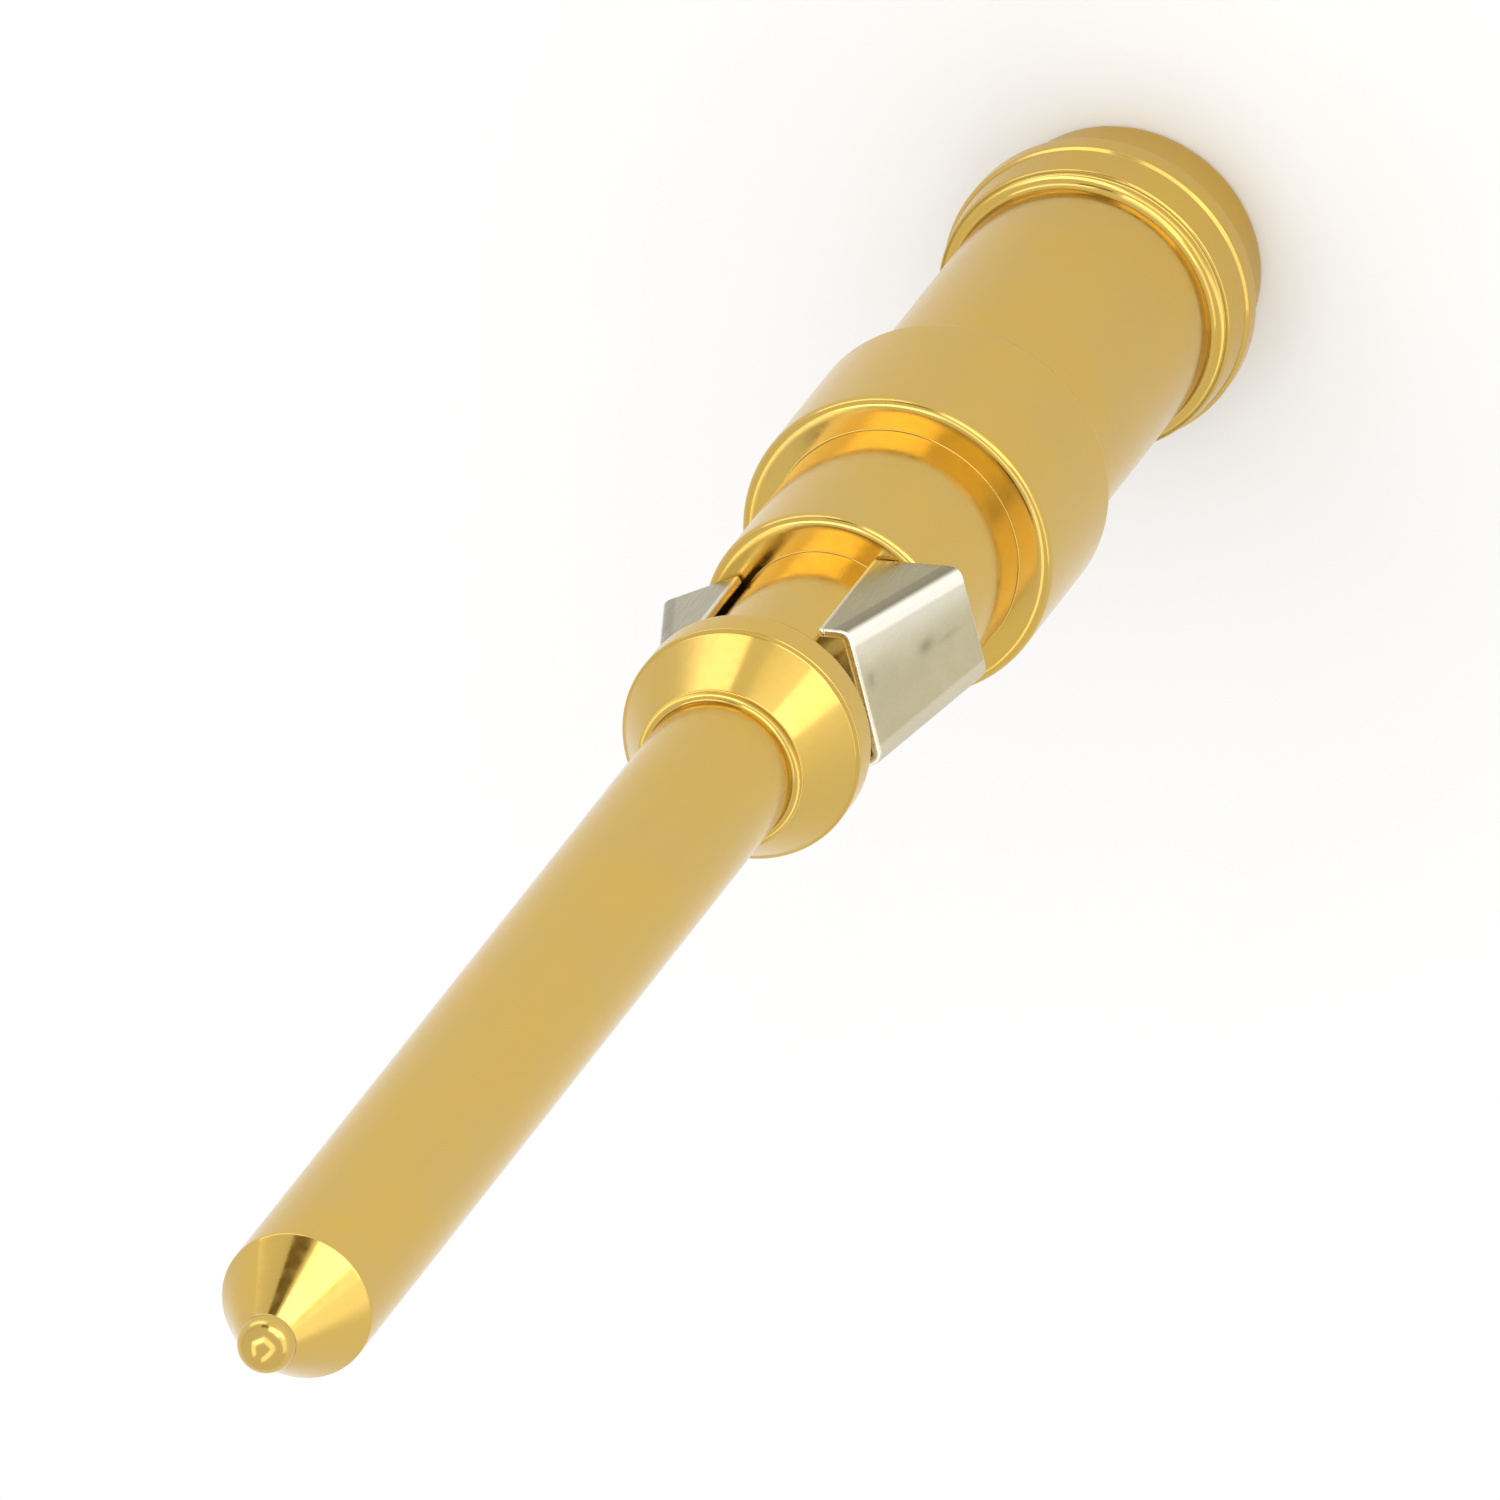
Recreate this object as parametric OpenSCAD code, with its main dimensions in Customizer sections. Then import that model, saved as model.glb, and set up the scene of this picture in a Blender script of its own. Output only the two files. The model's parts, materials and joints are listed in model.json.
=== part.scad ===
// Crimp contact pin with a folded sheet retention clip on its neck.
// The contact stands on its wire end, with the mating tip up. All sizes are in millimetres.

/* [Mating pin] */
// Diameter of the mating pin
pin_d = 1.6; // [1.2:0.05:1.8]
// Length of the straight mating pin, from the lead-in cone to the tip cone
pin_l = 14.03; // [6:0.01:20]
// Half angle of the tip cone, in degrees
tip_angle = 28.7; // [15:0.1:40]
// Radius of the round nib at the tip
nib_r = 0.3; // [0.2:0.01:0.45]
// Length of nib that stands straight before its round end
nib_step_l = 0.06; // [0.02:0.01:0.2]

/* [Collar] */
// Diameter of the collar in front of the clip
collar_d = 2.6; // [2.4:0.05:2.9]
// Length of the collar's straight band
collar_band_l = 0.3; // [0.15:0.01:0.6]
// Half angle of the lead-in cone, in degrees
lead_angle = 30; // [15:1:45]
// Height of the small step between the lead-in cone and the pin
lead_step_h = 0.1; // [0.04:0.01:0.2]

/* [Neck] */
// Diameter of the neck that carries the clip
neck_d = 1.93; // [1.7:0.01:2.1]
// Length of the neck
neck_l = 2.61; // [2.3:0.01:4]

/* [Shoulder and flange] */
// Diameter of the shoulder body behind the clip
shoulder_d = 2.72; // [2.4:0.02:3]
// Length of the shoulder body
shoulder_l = 2.38; // [1:0.01:4]
// Diameter of the thick flange
flange_d = 3.4; // [3.1:0.02:4]
// Length of the thick flange
flange_l = 2.14; // [1:0.01:4]

/* [Wire barrel] */
// Outer diameter of the crimp barrel
barrel_d = 2.9; // [2.5:0.02:3]
// Length of the barrel between the flange and the rim of the end ring
barrel_l = 4.88; // [2:0.01:8]
// Diameter of the end ring
ring_d = 3.42; // [3.3:0.01:3.8]
// Length of the end ring's straight band
ring_l = 0.31; // [0.2:0.01:1]
// Half angle of the cone in front of the end ring, in degrees
ring_angle = 11; // [6:1:40]
// Height of the round hollow that leads from that cone down to the barrel
ring_step_h = 0.17; // [0.08:0.01:0.18]
// Diameter of the tail behind the end ring
tail_d = 3; // [2.6:0.02:3.1]
// Length of the tail behind the end ring
tail_l = 0.89; // [0.5:0.01:2]
// Diameter of the wire bore
wire_bore_d = 1.9; // [1.4:0.05:2.1]
// Depth of the straight wire bore
wire_bore_l = 5.1; // [3:0.05:5.2]
// Width of the bevel at the mouth of the wire bore
mouth_bevel = 0.16; // [0.05:0.01:0.22]
// Diameter of the inspection hole
sight_hole_d = 0.8; // [0.5:0.05:1]
// Distance from the inspection hole's centre back from the bottom of the wire bore
sight_hole_back = 0.75; // [0.6:0.05:1.5]

/* [Retention clip] */
// Thickness of the clip's sheet
sheet_t = 0.1; // [0.06:0.01:0.14]
// Radial running clearance between the clip and the neck
clip_gap = 0.025; // [0.02:0.005:0.06]
// Axial clearance between the clip and the shoulder
clip_end_gap = 0.03; // [0.02:0.01:0.1]
// Length of the clip along the neck
clip_l = 1.91; // [1.2:0.01:2.2]
// Distance between the outer faces of the two tines at their flared ends
tine_span = 3.4; // [2.8:0.02:3.8]
// Width of the opening between the clip's two lips
opening_w = 1.52; // [1.2:0.02:1.7]
// Angle from the middle of a tine to where its side wall meets the neck, in degrees
wall_foot_angle = 50; // [42:1:56]
// Lean of the tine's side walls out from square, in degrees
wall_lean = 12; // [6:1:16]
// Outer radius of the folds along the tines
fold_r = 0.14; // [0.12:0.01:0.18]

/* [Edges] */
// Width of the small bevel on each turned edge
edge_bevel = 0.05; // [0.02:0.01:0.08]

/* [Hidden] */
$fn = 96;

gold = [0.82, 0.69, 0.36];
steel = [0.73, 0.71, 0.64];

pin_r = pin_d / 2;
collar_r = collar_d / 2;
neck_r = neck_d / 2;
shoulder_r = shoulder_d / 2;
flange_r = flange_d / 2;
barrel_r = barrel_d / 2;
ring_r = ring_d / 2;
tail_r = tail_d / 2;
wire_bore_r = wire_bore_d / 2;
drill_point_h = wire_bore_r * tan(31);

// Heights of the steps, from the wire end up to the tip
ring_z = tail_l;
barrel_z = ring_z + ring_l;
ring_foot_z = barrel_z + (ring_r - barrel_r - ring_step_h) / tan(ring_angle);
flange_z = barrel_z + barrel_l;
shoulder_z = flange_z + flange_l;
neck_z = shoulder_z + shoulder_l;
collar_z = neck_z + neck_l;
cone_z = collar_z + collar_band_l;
pin_z = cone_z + (collar_r - pin_r - lead_step_h) / tan(lead_angle);
tip_z = pin_z + pin_l;
nib_z = tip_z + (pin_r - nib_r) / tan(tip_angle);
nib_centre_z = nib_z + nib_step_l;

// Clip: radius of its inside, and the fold lines of a tine at both ends
clip_r = neck_r + clip_gap;
clip_z = neck_z + clip_end_gap;
tine_rear_x = tine_span / 2;
flare_angle = atan((tine_rear_x - clip_r - sheet_t) / clip_l);
tine_front_x = clip_r + sheet_t / cos(flare_angle);
foot_r = clip_r + sheet_t * 0.9;
foot_x = foot_r * cos(wall_foot_angle);
foot_y = foot_r * sin(wall_foot_angle);
slice_t = 0.001;
cut_past = 0.2;

// Half outline of a turned length: bevelled at the front edge, the rear edge, or both
module turned_band(z, r, l, rear, front) {
    polygon([
        [0, z],
        [r - rear, z],
        [r, z + rear],
        [r, z + l - front],
        [r - front, z + l],
        [0, z + l]
    ]);
}

// Half outline of a cone from a wide rim up to a slimmer length, which it meets in a round hollow
module cone_outline(rim_z, rim_r, foot_z, foot_r, step_h) {
    difference() {
        polygon([
            [0, rim_z],
            [rim_r, rim_z],
            [foot_r + step_h, foot_z],
            [foot_r + step_h, foot_z + step_h],
            [0, foot_z + step_h]
        ]);
        translate([foot_r + step_h, foot_z + step_h]) circle(r = step_h);
    }
}

// Half outline of the tip: a cone, a short straight nib and its round end
module tip_outline() {
    polygon([[0, tip_z], [pin_r, tip_z], [nib_r, nib_z], [nib_r, nib_centre_z], [0, nib_centre_z]]);
    intersection() {
        translate([0, nib_centre_z]) circle(r = nib_r);
        translate([0, nib_centre_z]) square([nib_r, nib_r]);
    }
}

module contact_outline() {
    turned_band(0, tail_r, tail_l, 2 * edge_bevel, 0);
    turned_band(ring_z, ring_r, ring_l, edge_bevel, 0);
    cone_outline(barrel_z, ring_r, ring_foot_z, barrel_r, ring_step_h);
    turned_band(barrel_z, barrel_r, barrel_l, 0, 0);
    turned_band(flange_z, flange_r, flange_l, edge_bevel, edge_bevel);
    turned_band(shoulder_z, shoulder_r, shoulder_l, 0, edge_bevel);
    turned_band(neck_z, neck_r, neck_l, 0, 0);
    turned_band(collar_z, collar_r, collar_band_l, edge_bevel, 0);
    cone_outline(cone_z, collar_r, pin_z, pin_r, lead_step_h);
    turned_band(pin_z, pin_r, pin_l, 0, 0);
    tip_outline();
}

// Blind bore for the wire's strands, with a bevelled mouth and a drill point
module wire_bore() {
    translate([0, 0, -cut_past]) cylinder(r = wire_bore_r, h = wire_bore_l + cut_past);
    translate([0, 0, wire_bore_l]) cylinder(r1 = wire_bore_r, r2 = 0, h = drill_point_h);
    translate([0, 0, -mouth_bevel])
        cylinder(r1 = wire_bore_r + 2 * mouth_bevel, r2 = wire_bore_r, h = 2 * mouth_bevel);
}

// Cross hole that shows the strands at the bottom of the bore
module sight_hole() {
    translate([0, 0, wire_bore_l - sight_hole_back])
        rotate([-90, 0, 0])
            cylinder(d = sight_hole_d, h = ring_r + cut_past);
}

module contact_body() {
    color(gold)
        difference() {
            rotate_extrude() contact_outline();
            wire_bore();
            sight_hole();
        }
}

// Cross section of a tine at one height: x is the outer face, inset moves every face in
module tine_slice(z, x, inset) {
    round_r = fold_r - inset;
    face_x = x - inset / cos(flare_angle);
    wall_y = foot_y - inset / cos(wall_lean);
    round_x = face_x - round_r;
    round_y = wall_y - (round_x - foot_x) * tan(wall_lean) - round_r / cos(wall_lean);
    translate([0, 0, z])
        linear_extrude(slice_t) {
            polygon([[0, 0], [foot_x, -wall_y], [foot_x, wall_y]]);
            for (side = [-1, 1])
                translate([round_x, side * round_y]) circle(r = round_r, $fn = 32);
        }
}

// Flared block between the tine's sections; past carries it on beyond both ends
module tine_block(inset, past) {
    run_out = past * tan(flare_angle);
    hull() {
        tine_slice(clip_z - past, tine_rear_x + run_out, inset);
        tine_slice(clip_z + clip_l - slice_t + past, tine_front_x - run_out, inset);
    }
}

// Slot that opens the clip along its length, between its two lips
module clip_opening() {
    translate([-opening_w / 2, -tine_rear_x, clip_z - cut_past])
        cube([opening_w, tine_rear_x, clip_l + 2 * cut_past]);
}

// One folded sheet: a band round the back of the neck and two flared tines with side walls
module retention_clip() {
    color(steel)
        difference() {
            union() {
                translate([0, 0, clip_z]) cylinder(r = clip_r + sheet_t, h = clip_l);
                for (turn = [0, 180]) rotate([0, 0, turn]) tine_block(0, 0);
            }
            translate([0, 0, clip_z - cut_past]) cylinder(r = clip_r, h = clip_l + 2 * cut_past);
            for (turn = [0, 180]) rotate([0, 0, turn]) tine_block(sheet_t, cut_past);
            clip_opening();
        }
}

contact_body();
retention_clip();
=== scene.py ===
"""Crimp contact pin with its retention clip: fine surfaces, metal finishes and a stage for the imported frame.

Lengths are worked out in millimetres and go into the meshes in metres.
"""

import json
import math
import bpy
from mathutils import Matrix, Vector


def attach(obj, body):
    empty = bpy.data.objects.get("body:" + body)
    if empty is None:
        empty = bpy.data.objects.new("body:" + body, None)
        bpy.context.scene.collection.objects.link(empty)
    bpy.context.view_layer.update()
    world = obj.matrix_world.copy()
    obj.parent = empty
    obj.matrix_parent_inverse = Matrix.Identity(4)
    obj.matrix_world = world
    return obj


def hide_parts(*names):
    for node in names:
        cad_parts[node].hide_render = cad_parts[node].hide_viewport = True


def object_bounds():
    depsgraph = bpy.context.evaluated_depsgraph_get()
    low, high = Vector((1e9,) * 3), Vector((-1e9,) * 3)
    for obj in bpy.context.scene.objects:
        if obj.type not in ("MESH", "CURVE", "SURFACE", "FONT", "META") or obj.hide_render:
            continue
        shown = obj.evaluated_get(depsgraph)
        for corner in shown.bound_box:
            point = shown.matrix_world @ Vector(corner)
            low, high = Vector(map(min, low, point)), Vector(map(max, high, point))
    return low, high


bl_info = {
    "name": "Crimp contact pin",
    "version": (1, 0, 0),
    "blender": (4, 5, 0),
    "location": "3D View > Sidebar > Contact",
    "description": "Turned gold-plated crimp contact with a folded retention clip, and a stage for it",
    "category": "Add Mesh",
}

from types import SimpleNamespace

import bpy
import numpy as np
from bpy.props import FloatProperty, FloatVectorProperty, PointerProperty
from bpy.types import Operator, Panel, PropertyGroup
from mathutils import Matrix, Vector

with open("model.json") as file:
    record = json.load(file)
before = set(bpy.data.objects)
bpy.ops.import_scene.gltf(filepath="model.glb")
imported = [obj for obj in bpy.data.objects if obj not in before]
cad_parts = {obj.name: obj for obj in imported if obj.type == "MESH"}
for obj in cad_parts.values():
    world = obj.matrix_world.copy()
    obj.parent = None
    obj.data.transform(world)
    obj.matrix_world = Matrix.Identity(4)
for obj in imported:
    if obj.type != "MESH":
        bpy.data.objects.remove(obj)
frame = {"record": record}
CAD_BOX = [list(corner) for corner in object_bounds()]

MM = 0.001
MOUNTS = {mount["name"]: mount["dims"] for mount in frame["record"]["mounts"]}


# ---------------------------------------------------------------- properties

def length(name, millimetres, description):
    """A size that is given in millimetres and kept in metres."""
    return FloatProperty(
        name=name, description=description, default=millimetres * MM, min=0.0, precision=5, unit="LENGTH"
    )


def angle(name, degrees, description):
    """An angle that is given in degrees and kept in radians."""
    return FloatProperty(
        name=name, description=description, default=math.radians(degrees), subtype="ANGLE", unit="ROTATION"
    )


def colour(name, rgb, description):
    """A scene-linear colour."""
    return FloatVectorProperty(
        name=name, description=description, default=rgb, min=0.0, max=1.0, size=3, subtype="COLOR"
    )


def level(name, value, description):
    """A plain number from 0 up."""
    return FloatProperty(name=name, description=description, default=value, min=0.0, precision=3)


class ContactSizes(PropertyGroup):
    """Sizes of the turned contact."""

    pin_r: length("Pin radius", MOUNTS["mating_pin"]["r_mm"], "Radius of the mating pin")
    pin_l: length("Pin length", 14.03, "Straight length of the mating pin")
    tip_angle: angle("Tip half angle", 28.7, "Half angle of the tip cone")
    nib_r: length("Nib radius", 0.3, "Radius of the round nib at the tip")
    nib_step_l: length("Nib step", 0.06, "Length of nib that stands straight before its round end")
    collar_r: length("Collar radius", 1.3, "Radius of the collar in front of the clip")
    collar_band_l: length("Collar band", 0.44, "Length of the collar's straight band")
    lead_angle: angle("Lead-in half angle", 30, "Half angle of the collar's lead-in cone")
    lead_step: length("Lead-in step", 0.1, "Height of the step between the lead-in cone and the pin")
    neck_r: length("Neck radius", 0.965, "Radius of the neck that carries the clip")
    neck_l: length("Neck length", 2.47, "Length of the neck")
    shoulder_r: length("Shoulder radius", 1.36, "Radius of the shoulder behind the clip")
    shoulder_l: length("Shoulder length", 2.38, "Length of the shoulder")
    flange_r: length("Flange radius", 1.7, "Radius of the thick flange")
    flange_l: length("Flange length", 2.14, "Length of the thick flange")
    barrel_r: length("Barrel radius", 1.45, "Outer radius of the wire barrel")
    barrel_l: length("Barrel length", 4.88, "Length of barrel between the flange and the end ring")
    ring_r: length("Ring radius", CAD_BOX[1][1] / MM, "Radius of the end ring")
    ring_l: length("Ring band", 0.31, "Length of the end ring's straight band")
    ring_angle: angle("Ring half angle", 11, "Half angle of the cone in front of the end ring")
    ring_step: length("Ring hollow", 0.17, "Height of the round hollow from that cone down to the barrel")
    tail_r: length("Tail radius", 1.5, "Radius of the tail behind the end ring")
    tail_l: length("Tail length", 0.89, "Length of the tail behind the end ring")
    bore_r: length("Wire bore radius", MOUNTS["wire_bore"]["r_mm"], "Radius of the wire bore")
    bore_l: length("Wire bore depth", 5.1, "Depth of the straight wire bore")
    mouth: length("Mouth bevel", 0.16, "Width of the bevel at the mouth of the wire bore")
    hole_r: length("Inspection hole radius", 0.4, "Radius of the cross hole into the wire bore")
    hole_back: length("Inspection hole setback", 0.75, "From the hole's centre back from the bore's bottom")


class ClipSizes(PropertyGroup):
    """Sizes of the folded retention clip."""

    sheet_t: length("Sheet thickness", 0.1, "Thickness of the clip's sheet")
    gap: length("Running clearance", 0.025, "Radial clearance between the clip and the neck")
    end_gap: length("End clearance", 0.03, "Axial clearance between the clip and the shoulder")
    clip_l: length("Clip length", 1.91, "Length of the clip along the neck")
    span: length("Tine span", 3.4, "Distance between the tines' outer faces at their flared ends")
    opening_w: length("Opening width", 1.52, "Width of the opening between the two lips")
    foot_angle: angle("Wall foot angle", 50, "From a tine's middle to where its side wall meets the neck")
    wall_lean: angle("Wall lean", 12, "Lean of the tine's side walls out from square")
    fold_r: length("Fold radius", 0.14, "Outer radius of the folds along the tines")
    dent_depth: length("Dent depth", 0.02, "Depth of the small press marks in a tine's face")


class FinishSettings(PropertyGroup):
    """Colours and gloss of the two metals, the floor and the card."""

    gold: colour("Gold plate", (0.605, 0.4, 0.087), "Colour of the gold plating")
    gold_thin: colour("Thin plate", (0.58, 0.398, 0.108), "Colour of the plating where it is a little paler")
    gold_edge: colour("Gold at a slant", (0.98, 0.93, 0.82), "Tint of the plating's shine at a slant")
    steel: colour("Clip steel", (0.505, 0.451, 0.287), "Colour of the clip's stainless sheet")
    # Painted highlight: the pale colour painted on the folds, the cut edges, the face by the lip fold and the
    # inside of the sheet, in place of a lamp's shine.
    fold_steel: colour("Burnished fold", (0.9, 0.87, 0.77), "Colour of the burnished folds and edges")
    floor: colour("Floor", (0.8, 0.8, 0.8), "Colour of the floor near the contact")
    floor_far: colour("Far floor", (0.94, 0.94, 0.94), "Colour of the floor away from the contact")
    card: colour("Card", (0.17, 0.12, 0.035), "Colour of the card that the tip mirrors as a dark streak")
    gold_rough: level("Gold roughness", 0.15, "Roughness of the polished plating")
    steel_rough: level("Steel roughness", 0.3, "Roughness of the satin sheet")


class StageSettings(PropertyGroup):
    """Camera and lights."""

    azimuth: angle("Camera azimuth", -139, "Direction from the contact to the camera, from +X")
    elevation: angle("Camera elevation", 60.5, "Height of the camera above the horizon")
    roll: angle("Camera roll", 218.32, "Turn of the camera about its own line of sight")
    lens: level("Lens", 1200.0, "Focal length in millimetres, for a sensor 36 mm wide")
    frame_w: length("Frame width", 15.584, "Width of the picture at the point the camera aims at")
    aim_z: length("Aim height", 13.478, "Height on the contact's axis that the camera aims at")
    aim_side: length("Aim offset", 0.112, "Offset of the aim to the side")
    sky: level("Sky level", 0.95, "Strength of the sky's light on matt surfaces")
    key: level("Key light level", 2.2, "Radiance that the high soft box adds to the sky")
    fill: level("Low light level", 1.1, "Radiance that the low soft boxes add to the sky")
    front: level("Front light level", 0.65, "Radiance that the long low soft box in front adds to the sky")
    side: level("Side light level", 0.8, "Radiance that the high soft boxes at the sides add to the sky")
    upper: level("Upper light level", 0.8, "Radiance that the high soft box in front adds to the sky")
    glint: level("Tip light level", 1.55, "Radiance that the small soft box beside the tip adds to the sky")


def in_mm(group):
    """The values of a property group by name, with its lengths turned from metres into millimetres."""
    properties = group.bl_rna.properties
    keys = group.__annotations__
    return SimpleNamespace(
        **{key: getattr(group, key) / (MM if properties[key].unit == "LENGTH" else 1.0) for key in keys}
    )


# ------------------------------------------------------------------ surfaces

def filleted(corners, radii, steps=6):
    """A line through sharp corners with each inner corner rounded.

    At a corner that turns by the angle w, the arc of radius r starts r tan(w / 2) before the corner and ends
    as far after it. Its centre lies r / cos(w / 2) from the corner, along the difference of the directions.
    A support point stands 0.35 r before and after each arc, or closer where the straight run is short. The
    last axis holds a corner's two coordinates, the one before it the corners, and any other separate lines.
    """
    corners = np.asarray(corners, float)
    radii = np.asarray(radii, float)[..., None]
    spans = np.diff(corners, axis=-2)
    lengths = np.linalg.norm(spans, axis=-1, keepdims=True)
    heading = spans / lengths
    before, after = heading[..., :-1, :], heading[..., 1:, :]
    cross = before[..., 0] * after[..., 1] - before[..., 1] * after[..., 0]
    turn = np.arctan2(cross, np.sum(before * after, axis=-1))[..., None]
    reach = radii * np.tan(np.abs(turn) / 2)
    sharp = np.zeros_like(reach[..., :1, :])
    padded = np.concatenate([sharp, reach, sharp], axis=-2)
    free = lengths - padded[..., :-1, :] - padded[..., 1:, :]
    inner = corners[..., 1:-1, :]
    bisector = after - before
    bisector = bisector / np.linalg.norm(bisector, axis=-1, keepdims=True)
    centre = inner + bisector * radii / np.cos(turn / 2)
    arm = inner - before * reach - centre
    part = turn * np.linspace(0, 1, steps + 1)
    arc = np.stack(
        [
            centre[..., :1] + arm[..., :1] * np.cos(part) - arm[..., 1:] * np.sin(part),
            centre[..., 1:] + arm[..., :1] * np.sin(part) + arm[..., 1:] * np.cos(part),
        ],
        axis=-1,
    )
    lead = np.minimum(0.35 * radii, 0.4 * free[..., :-1, :])
    trail = np.minimum(0.35 * radii, 0.4 * free[..., 1:, :])
    first = (inner - before * (reach + lead))[..., None, :]
    last = (inner + after * (reach + trail))[..., None, :]
    rounds = np.concatenate([first, arc, last], axis=-2)
    rounds = rounds.reshape(*rounds.shape[:-3], -1, 2)
    return np.concatenate([corners[..., :1, :], rounds, corners[..., -1:, :]], axis=-2)


def strip_faces(rows, closed):
    """Quads between rows of vertex numbers: (i, j), (i, j + 1), (i + 1, j + 1), (i + 1, j)."""
    a, d = rows[:-1], rows[1:]
    b, c = np.roll(a, -1, axis=1), np.roll(d, -1, axis=1)
    quads = np.stack([a, b, c, d], axis=-1)
    return quads if closed else quads[:, :-1]


def mesh_object(name, points, faces, attributes=()):
    """A smooth mesh object, with its place in its mesh, from points in millimetres and arrays of faces."""
    polygons = [polygon for block in faces for polygon in block.reshape(-1, block.shape[-1]).tolist()]
    mesh = bpy.data.meshes.new(name)
    mesh.from_pydata((points * MM).tolist(), [], polygons)
    for key, values in attributes:
        mesh.attributes.new(key, "FLOAT", "POINT").data.foreach_set("value", values.astype(np.float32))
    mesh.shade_smooth()
    mesh.update()
    mesh.validate()
    obj = bpy.data.objects.new(name, mesh)
    bpy.context.collection.objects.link(obj)
    return obj


# Columns of the turned body round its axis, with the inspection hole's middle on the column at +Y.
COLUMNS = 240
HOLE_COLUMN = COLUMNS // 4
# Radius of the rounding on the inspection hole's outer edge.
HOLE_EDGE_R = 0.03
# Windows in the grids round the hole: columns to each side, rows, and half the height in millimetres.
OUTER_WINDOW = SimpleNamespace(columns=16, rows=16, half_l=0.5)
INNER_WINDOW = SimpleNamespace(columns=20, rows=8, half_l=0.46)
# Slope of the cone that the drill leaves at the bottom of the wire bore.
DRILL_POINT_ANGLE = math.radians(31)


def contact_profile(s):
    """Half section of the contact as (r, z) points.

    It runs from the bottom of the wire bore down the bore, round the mouth and up the outside to the tip, and
    both ends lie on the axis. Each corner is (r, z, radius of its rounding). Also gives the rows of the
    profile where the inspection hole's windows start, inside and outside, and the hole's height.
    """
    ring_z = s.tail_l
    barrel_z = ring_z + s.ring_l
    ring_foot_z = barrel_z + (s.ring_r - s.barrel_r - s.ring_step) / math.tan(s.ring_angle)
    flange_z = barrel_z + s.barrel_l
    shoulder_z = flange_z + s.flange_l
    neck_z = shoulder_z + s.shoulder_l
    collar_z = neck_z + s.neck_l
    cone_z = collar_z + s.collar_band_l
    pin_z = cone_z + (s.collar_r - s.pin_r - s.lead_step) / math.tan(s.lead_angle)
    tip_z = pin_z + s.pin_l
    nib_z = tip_z + (s.pin_r - s.nib_r) / math.tan(s.tip_angle)
    nib_centre_z = nib_z + s.nib_step_l
    hole_z = s.bore_l - s.hole_back
    drill_point_h = s.bore_r * math.tan(DRILL_POINT_ANGLE)

    inner = hole_z + INNER_WINDOW.half_l * np.linspace(1, -1, INNER_WINDOW.rows + 1)
    outer = hole_z + OUTER_WINDOW.half_l * np.linspace(-1, 1, OUTER_WINDOW.rows + 1)
    bottom = filleted([(0, s.bore_l + drill_point_h), (s.bore_r, s.bore_l), (s.bore_r, inner[0])], [0.05])
    # The end ring's band and the collar's band each meet their cone in a small bevel of two corners.
    rear = np.array([
        (s.bore_r, inner[-1], 0),
        (s.bore_r, s.mouth, 0.06),
        (s.bore_r + s.mouth, 0, 0.05),
        (s.tail_r, 0, 0.12),
        (s.tail_r, ring_z, 0.03),
        (s.ring_r, ring_z, 0.07),
        (s.ring_r, barrel_z - 0.03, 0.04),
        (s.ring_r - 0.035, barrel_z + 0.015, 0.04),
        (s.barrel_r + s.ring_step, ring_foot_z, 0.06),
        (s.barrel_r, ring_foot_z, s.ring_step * 0.9),
        (s.barrel_r, outer[0], 0),
    ])
    front = np.array([
        (s.barrel_r, outer[-1], 0),
        (s.barrel_r, flange_z, 0.03),
        (s.flange_r, flange_z, 0.08),
        (s.flange_r, shoulder_z, 0.11),
        (s.shoulder_r, shoulder_z, 0.012),
        (s.shoulder_r, neck_z, 0.11),
        (s.neck_r, neck_z, 0.01),
        (s.neck_r, collar_z, 0.03),
        (s.collar_r, collar_z, 0.07),
        (s.collar_r, cone_z - 0.02, 0.03),
        (s.collar_r - 0.04, cone_z + 0.015, 0.04),
        (s.pin_r + s.lead_step, pin_z, 0.02),
        (s.pin_r, pin_z, 0.08),
        (s.pin_r, tip_z, 0.06),
        (s.nib_r, nib_z, 0.03),
        (s.nib_r, nib_centre_z, 0),
    ])
    lift = np.linspace(0, math.pi / 2, 11)[1:]
    nib = np.stack([s.nib_r * np.cos(lift), nib_centre_z + s.nib_r * np.sin(lift)], axis=1)
    nib[-1, 0] = 0
    bore_rows = np.stack([np.full_like(inner, s.bore_r), inner], axis=1)
    barrel_rows = np.stack([np.full_like(outer, s.barrel_r), outer], axis=1)
    rear = filleted(rear[:, :2], rear[1:-1, 2])
    front = filleted(front[:, :2], front[1:-1, 2])
    profile = np.concatenate([bottom[:-1], bore_rows, rear[1:-1], barrel_rows, front[1:], nib])
    bore_row = len(bottom) - 1
    barrel_row = bore_row + len(bore_rows) + len(rear) - 2
    return profile, bore_row, barrel_row, hole_z


def window_loop(rows, row, window):
    """Vertex numbers round a window of the grid, from its first row and column, along the row first."""
    step = window.columns
    left, right = HOLE_COLUMN - step, HOLE_COLUMN + step
    block = rows[row:row + window.rows + 1, left:right + 1]
    return np.concatenate([block[0, :-1], block[:-1, -1], block[-1, :0:-1], block[:0:-1, 0]])


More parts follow.
